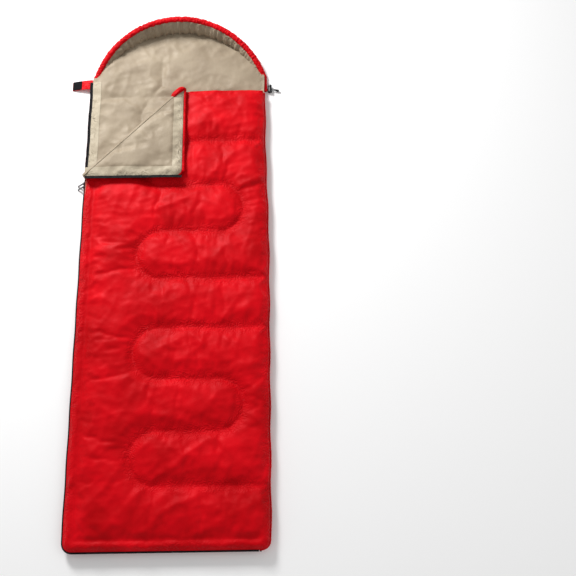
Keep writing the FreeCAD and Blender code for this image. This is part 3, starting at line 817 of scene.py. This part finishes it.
def fold_rings(start, end, steps, reach, inside, rise, taper):
    """Rings along the fold line, between two shares of its length, reaching out from it and a little in."""
    a, b = np.array(FOLD_START), np.array(FOLD_END)
    tall = (FLAP_HIGH[2] - TOP_LOW[2]) / 2 + rise
    rings = []
    for step in range(steps + 1):
        share = start + (end - start) * step / steps
        centre = a + (b - a) * share
        size = taper(step / steps)
        wide = reach * (1 + 0.16 * noise.noise(Vector((share * 14, 0, 0)))) * size
        ring = []
        for spoke in range(ROLL_SPOKES):
            angle = math.tau * (spoke / ROLL_SPOKES - 0.25)
            across = wide if math.cos(angle) > 0 else inside * size
            place = centre + OUT * across * math.cos(angle)
            ring.append((*place, FOLD_Z + tall * size * math.sin(angle)))
        rings.append(ring)
    return rings


def straight(share):
    return 1.0


def rounded(share):
    """The size of the fold's round end along its length: full in the middle, small at both ends."""
    return math.sqrt(max(BULGE_LEAST, 1 - abs(2 * share - 1) ** 3))


def fold():
    """The rolled edge where the corner turns over: lining outside, and the shell's round end at the hem."""
    split = 1 - BULGE_LONG / math.dist(FOLD_START, FOLD_END)
    rolled = fold_rings(0.0, split + ROLL_OVERLAP, 70, ROLL_REACH, inside=2 * MM, rise=-1.5 * MM,
                        taper=straight)
    lining = loft("fold_lining", rolled, LINER)
    lining.data.materials.append(RED)
    for face in lining.data.polygons:
        inward = np.dot(np.array(face.center[:2]) - FOLD_START, OUT) < 0
        face.material_index = int(inward and abs(face.center.z - FOLD_Z) < RED_INSIDE)
    end = fold_rings(split - ROLL_OVERLAP, 1 + ROLL_OVERLAP, 16, 25 * MM, inside=8 * MM, rise=5 * MM,
                     taper=rounded)
    return lining, loft("fold_bulge", end, RED)


# ---------------------------------------------------------------- hood

WALL_STEPS = 200
CASING_STEPS = 400
CASING_END_STEPS = 26
CASING_WIDE = 1.35
CASING_FULL = 1.05
CASING_GATHER = 0.32


def rim_frame(turn):
    """The rim's centre at an angle from the crown, and the level direction straight out from there."""
    along = RIM_SLOPE - RIM_RADIUS * (1 - math.cos(turn))
    x = RIM_RADIUS * math.sin(turn)
    y = HINGE_Y + along * RIM_RUN / RIM_SLOPE
    z = RIM_SHOULDER + along * RIM_RISE / RIM_SLOPE
    return Vector((x, y, z)), Vector((x, y - HOOD_Y, 0)).normalized()


def gathers(turn, height):
    """How far the drawn-up cloth stands in or out at a place on the rim."""
    sway = 3 * noise.noise(Vector((turn * 9, 0, 4.0)))
    folds = 5 * noise.noise(Vector((turn * 11, height * 9, 1.0)))
    folds += 4 * math.sin(turn * 74 + sway) * (0.6 + noise.noise(Vector((turn * 7, 0, 2.0))))
    folds += 2 * math.sin(turn * 131 + 2 * sway)
    folds += 4 * noise.noise(Vector((turn * 40, height * 20, 8.0)))
    return folds * MM


def wall_rings(section):
    """Rings round the hood's wall. The section gives offsets out from the rim's centre, and heights."""
    rings = []
    for step in range(WALL_STEPS + 1):
        turn = RIM_TURN * (1 - 2 * step / WALL_STEPS)
        centre, out = rim_frame(turn)
        tall = centre.z - RIM_SHOULDER
        ring = []
        for outside, height in section(tall):
            shift = gathers(turn, height * 10) * min(1, tall / (20 * MM))
            place = centre + out * (outside + shift)
            ring.append((place.x, place.y, height))
        rings.append(ring)
    return rings


def wall_section(tall):
    """The wall from its outer foot over the rim to its inner foot, for a rim this far above the shoulder."""
    top = RIM_SHOULDER + tall
    return [(9 * MM, 1 * MM), (14 * MM, top * 0.35), (14 * MM, top * 0.75), (9 * MM, top), (-9 * MM, top),
            (-16 * MM, top * 0.9), (-19 * MM - tall * 0.22, top * 0.55),
            (-16 * MM - tall * 0.16, min(17 * MM, top)), (-14 * MM, 3 * MM)]


def wall_lining_section(tall):
    """The lining that covers the wall's inner side."""
    inner = wall_section(tall)[4:8]
    front = [(outside - 2.5 * MM, height) for outside, height in inner]
    back = [(outside + 1 * MM, height) for outside, height in inner]
    return front + back[::-1]


def hood():
    """The hood's padded wall and its lining."""
    shell = loft("hood_wall", wall_rings(wall_section), RED)
    lining = loft("hood_wall_lining", wall_rings(wall_lining_section), LINER)
    return shell, lining


def casing():
    """The gathered tube of shell cloth that holds the drawcord, from its open end round the rim."""
    low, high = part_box("casing_end")
    start = Vector(((low[0] + high[0]) / 2, low[1], RIM_SHOULDER))
    shoulder = Vector((start.x, HINGE_Y, RIM_SHOULDER))
    path = [start + (shoulder - start) * step / CASING_END_STEPS for step in range(CASING_END_STEPS)]
    for step in range(CASING_STEPS + 1):
        path.append(rim_frame(RIM_TURN - 2 * RIM_TURN * step / CASING_STEPS)[0])
    return tube("rim_casing", path, RIM_TUBE * CASING_FULL, RED, wide=CASING_WIDE,
                wobble=CASING_GATHER / CASING_FULL, sway=(0.30, 1.2), spokes=14)


# ---------------------------------------------------------------- facings, zipper and stitching

ZIPPER_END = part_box("zipper_box")[0][0]
TAPE_OUT, TAPE_IN = 9 * MM, 3 * MM
STRIP_THICK = 0.6 * MM
FACING_LIFT = 0.4 * MM
HEM_FACING_LIFT = 0.7 * MM
TAPE_LIFT = 0.9 * MM
TEETH_LIFT = 1.4 * MM
TOOTH_LINE = 1.5 * MM - TAPE_OUT
TOOTH_PITCH = 3 * MM
TOOTH_WIDE = 2.6 * MM
TOOTH_LONG = 1.8 * MM
TOOTH_TALL = 3.4 * MM
TOOTH_PROFILE = ((0.0, 0.8), (0.3, 1.0), (0.8, 1.0), (1.0, 0.6))    # share of the height, share of the width
STITCH_PITCH = 5 * MM
STITCH_LONG = 3.4 * MM
STITCH_SUNK = -0.6
THREAD_THICK = 0.5 * MM
# Along a stitch: the place, the width's share, and the top.
STITCH_PROFILE = ((-0.5, 0.3, -0.3), (-0.25, 1.0, 0.6), (0.25, 1.0, 0.6), (0.5, 0.3, -0.3))


def edge_path(top):
    """The zipper's line on the quilts: down the left edge from here, round the corner, along the foot."""
    line = [(LEFT, top)] + FOOT_LEFT + [(ZIPPER_END, FOOT)]
    return drawn_in(resampled(line, 6 * MM))


def level(z):
    """A height function that is the same everywhere."""
    return lambda x, y: z


def above(height, gap):
    """The height function, raised by a gap."""
    return lambda x, y: height(x, y) + gap


def clamped(height, low, high):
    """The height function read no nearer to the piece's edges than these corners."""
    return lambda x, y: height(min(max(x, low[0]), high[0]), min(max(y, low[1]), high[1]))


def prisms(name, points, material):
    """Many small closed prisms, each from four rings of four points."""
    faces = []
    for first in range(0, len(points), 16):
        for ring in range(first, first + 12, 4):
            for step in range(4):
                a, b = ring + step, ring + (step + 1) % 4
                faces.append([a, b, b + 4, a + 4])
        faces.append([first + 3, first + 2, first + 1, first])
        faces.append([first + 12, first + 13, first + 14, first + 15])
    return add_piece(name, points, faces, material, smooth=0)


def teeth(name, line, across, height, tall, shift=0.0):
    """A row of small rounded teeth along a line, at an offset across it."""
    line = resampled(line, TOOTH_PITCH)
    points = []
    for place, side in zip(line[1:-1], normals(line)[1:-1]):
        along = np.array([side[1], -side[0]])
        middle = place + side * across + along * shift
        bottom = height(*middle)
        for share, wide in TOOTH_PROFILE:
            for a, b in ((-1, -1), (1, -1), (1, 1), (-1, 1)):
                corner = middle + side * a * TOOTH_WIDE / 2 * wide + along * b * TOOTH_LONG / 2 * wide
                points.append((corner[0], corner[1], bottom + tall * share))
    return prisms(name, points, COIL)


def stitches(name, line, height):
    """Short raised threads along a sewn line."""
    line = resampled(line, STITCH_PITCH)
    points = []
    for place, side in zip(line[1:-1], normals(line)[1:-1]):
        along = np.array([side[1], -side[0]])
        base = height(*place)
        for share, wide, tall in STITCH_PROFILE:
            for a, up in ((-1, tall), (1, tall), (1, STITCH_SUNK), (-1, STITCH_SUNK)):
                spot = place + along * STITCH_LONG * share + side * a * THREAD_THICK / 2 * wide
                points.append((spot[0], spot[1], base + up * THREAD_THICK))
    return prisms(name, points, THREAD)


# ---------------------------------------------------------------- assembly

STRAP_THICK = 2.4 * MM
CORD_ROUTE = ((0.363, 0.913, 0.010), (0.401, 0.913, 0.010), (0.420, 0.909, 0.0072))
CORD_THICK = 0.003

TOP, TOP_LINING = top_quilt()
FLOOR, FLOOR_LINING = floor_quilt()
FLAP, FLAP_LINING = flap()
FOLD, FOLD_BULGE = fold()
WALL, WALL_LINING = hood()
CASING = casing()


def zipper_and_facings():
    """Facings, tapes and teeth of both zipper halves, each on its body and in place of its node."""
    floor_height = clamped(height_over(FLOOR_LINING), (LEFT + 2 * MM, FOOT + 2 * MM), (RIGHT, CROWN))
    flap_height = clamped(height_over(FLAP_LINING), (LEFT + 12 * MM, FLAP_Y + 3 * MM), (FLAP_X - 3 * MM, HEM))
    lower, upper = edge_path(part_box("zipper_facing_lower")[1][1]), edge_path(FLAP_Y - 2 * MM)
    flap_line = [(LEFT + 4 * MM, FLAP_Y), (FLAP_X - CORNER, FLAP_Y)]
    flap_tape_line = flap_line + [(FLAP_X, FLAP_Y)]
    hem_line = [(FLAP_X, FLAP_Y + CORNER), (FLAP_X, HEM - 45 * MM)]
    corner = arc((FLAP_X - CORNER, FLAP_Y + CORNER), CORNER, 270, 360, 6)
    facing_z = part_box("zipper_facing_upper")[1][2] - 1 * MM
    tape_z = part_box("zipper_tape_upper")[0][2]
    # Each strip: its body, its node, its name, line, side edges, height, material and unevenness.
    strips = [
        ("base", "zipper_facing_lower", "floor_facing", lower, 0, FACING_WIDE,
         above(floor_height, FACING_LIFT), FACING, 0.7 * MM),
        ("top_quilt", "zipper_facing_upper", "top_facing", upper, 0, FACING_WIDE,
         level(facing_z), FACING, 0.0),
        ("base", "zipper_tape_lower", "floor_tape", lower, -TAPE_OUT, TAPE_IN,
         above(floor_height, TAPE_LIFT), TAPE, 0.0),
        ("top_quilt", "zipper_tape_upper", "top_tape", upper, -TAPE_OUT, TAPE_IN, level(tape_z), TAPE, 0.0),
        ("flap", "flap_zipper_facing", "flap_zipper_facing_cloth", flap_line + corner[:4],
         1 * MM, FACING_WIDE, above(flap_height, FACING_LIFT), FACING, 0.9 * MM),
        ("flap", "flap_hem_facing", "flap_hem_facing_cloth", corner[3:] + hem_line,
         1 * MM, FACING_WIDE, above(flap_height, HEM_FACING_LIFT), FACING, 0.9 * MM),
        ("flap", "flap_zipper_tape", "flap_tape", flap_tape_line, -TAPE_OUT, TAPE_IN,
         above(flap_height, TAPE_LIFT), TAPE, 0.0),
    ]
    for body, node_name, name, line, right, left, height, material, tuck in strips:
        piece = ribbon(name, line, right, left, STRIP_THICK, height, material, tuck)
        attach(piece, body)
        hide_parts(node_name)
    # Each row of teeth: its body, its node, its name, line, height, how tall a tooth is, and its shift.
    rows = [
        ("base", "zipper_coil_lower", "floor_teeth", lower, above(floor_height, TEETH_LIFT), TOOTH_TALL, 0.0),
        ("top_quilt", "zipper_coil_upper", "top_teeth", upper, level(tape_z - 3.3 * MM), TOOTH_TALL,
         TOOTH_PITCH / 2),
        ("flap", "flap_zipper_coil", "flap_teeth", flap_tape_line, above(flap_height, TEETH_LIFT),
         TOOTH_TALL - 1 * MM, 0.0),
    ]
    for body, node_name, name, line, height, tall, shift in rows:
        piece = teeth(name, line, TOOTH_LINE, height, tall, shift)
        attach(piece, body)
        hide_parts(node_name)


def seams_and_hems():
    """The side seam's piping, the two hem bands, and the lines of stitches."""
    top_height = height_over(TOP)
    seam = drawn_in(resampled([(ZIPPER_END, FOOT)] + FOOT_RIGHT + [(RIGHT, HEM)], 7 * MM))
    seam -= normals(seam) * 2.5 * MM
    piping = tube("side_piping", [(x, y, MIDDLE) for x, y in seam], 3.6 * MM, RED, tall=1.2)
    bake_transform(piping)
    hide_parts("side_seam")
    hem = drawn_in(resampled([(FLAP_X + 20 * MM, HEM), (RIGHT - 4 * MM, HEM)], 7 * MM))
    hem = [(x, y - 1 * MM, (TOP_LOW[2] + top_height(x, y - 3 * MM)) / 2) for x, y in hem]
    hem_band = tube("hem_band", hem, 5 * MM, RED, tall=1.9, wobble=0.16)
    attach(hem_band, "top_quilt")
    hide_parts("top_hem_binding")
    flap_height = height_over(FLAP)
    edge = resampled([(FLAP_X, FLAP_Y + CORNER * 0.6), (FLAP_X, HEM - 8 * MM)], 7 * MM)
    edge = [(x + 4 * MM, y, (FLAP_LOW[2] + flap_height(x - 3 * MM, y)) / 2 + 1 * MM) for x, y in edge]
    flap_band = tube("flap_hem_band", edge, 6.5 * MM, RED, wobble=0.2)
    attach(flap_band, "flap")
    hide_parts("flap_hem_binding")
    lines = [drawn_in(resampled(line, 5 * MM)) for line in QUILTING + [EDGE_LINE]]
    for index, line in enumerate(lines):
        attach(stitches(f"quilting_{index}", line, top_height), "top_quilt")


def tab():
    """The fastening tab on the left shoulder, its square of hooks, and the patch of loops on the flap."""
    low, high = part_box("tab_strap")
    patch_low, patch_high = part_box("tab_hook_patch")
    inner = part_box("tab_anchor")[1][0]
    drop = high[2] - patch_low[2]
    middle = (low[1] + high[1]) / 2
    wide = (high[1] - low[1]) / 2

    def slope(x, y):
        fall = max(0.0, (high[0] - x) / (high[0] - low[0])) ** 1.25
        return high[2] - STRAP_THICK - 0.2 * MM - drop * fall

    strap = ribbon("tab_cloth", [(inner, middle), (low[0], middle)], -wide, wide, STRAP_THICK, slope, RED,
                   tuck=0.6 * MM)
    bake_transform(strap)
    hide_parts("tab_anchor", "tab_strap")
    hooks = ribbon("hook_square", [(patch_high[0], middle), (patch_low[0], middle)], 1 * MM - wide,
                   wide - 1 * MM, 1.8 * MM, above(slope, STRAP_THICK - 0.1 * MM), HOOKS, spacing=4 * MM)
    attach(hooks, "tab")
    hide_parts("tab_hook_patch")
    low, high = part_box("flap_loop_patch")
    middle = (low[1] + high[1]) / 2
    loops = ribbon("loop_square", [(high[0], middle), (low[0], middle)], low[1] - middle, high[1] - middle,
                   high[2] - low[2], level(low[2]), HOOKS)
    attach(loops, "flap")
    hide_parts("flap_loop_patch")
    return strap


def cord():
    """The free end of the drawcord, from the casing through the lock to the end piece."""
    curve = bpy.data.curves.new("drawcord_free", "CURVE")
    curve.dimensions = "3D"
    spline = curve.splines.new("NURBS")
    spline.points.add(len(CORD_ROUTE) - 1)
    for point, place in zip(spline.points, CORD_ROUTE):
        point.co = (*place, 1)
    spline.order_u = 3
    spline.use_endpoint_u = True
    curve.bevel_depth = CORD_THICK / 2
    curve.bevel_resolution = 6
    curve.use_fill_caps = True
    curve.materials.append(CORD)
    piece = bpy.data.objects.new("drawcord_free", curve)
    bpy.context.scene.collection.objects.link(piece)
    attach(piece, "base")
    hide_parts("drawcord_tail")


zipper_and_facings()
seams_and_hems()
TAB = tab()
cord()

# The hard parts keep their CAD shapes and take these materials.
HARD = {
    BLACK: ("cord_lock_barrel", "cord_lock_plunger", "cord_end"),
    COIL: ("zipper_box", "zipper_pin", "top_stop_lower", "top_stop_upper"),
    METAL: ("slider_upper", "slider_lower", "pull_upper", "pull_lower", "cord_lock_spring"),
    CORD: ("hood_drawcord", "drawcord_end"),
}
for material, names in HARD.items():
    for name in names:
        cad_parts[name].data.materials.clear()
        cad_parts[name].data.materials.append(material)

for piece, body in ((TOP, "top_quilt"), (TOP_LINING, "top_quilt"), (FLAP, "flap"), (FLAP_LINING, "flap"),
                    (WALL, "hood"), (WALL_LINING, "hood")):
    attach(piece, body)
for piece in (FLOOR, FLOOR_LINING, CASING):
    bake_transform(piece)
for piece in (FOLD, FOLD_BULGE):
    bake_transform(piece)
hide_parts("top_shell", "top_fill")
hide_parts("top_liner")
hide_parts("bottom_shell", "bottom_fill", "hood_shell", "hood_fill")
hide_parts("bottom_liner", "hood_liner")
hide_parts("flap_shell", "flap_fill")
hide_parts("flap_liner")
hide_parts("hood_wall_shell", "hood_wall_fill")
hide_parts("hood_wall_liner")
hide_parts("hood_casing", "casing_end")
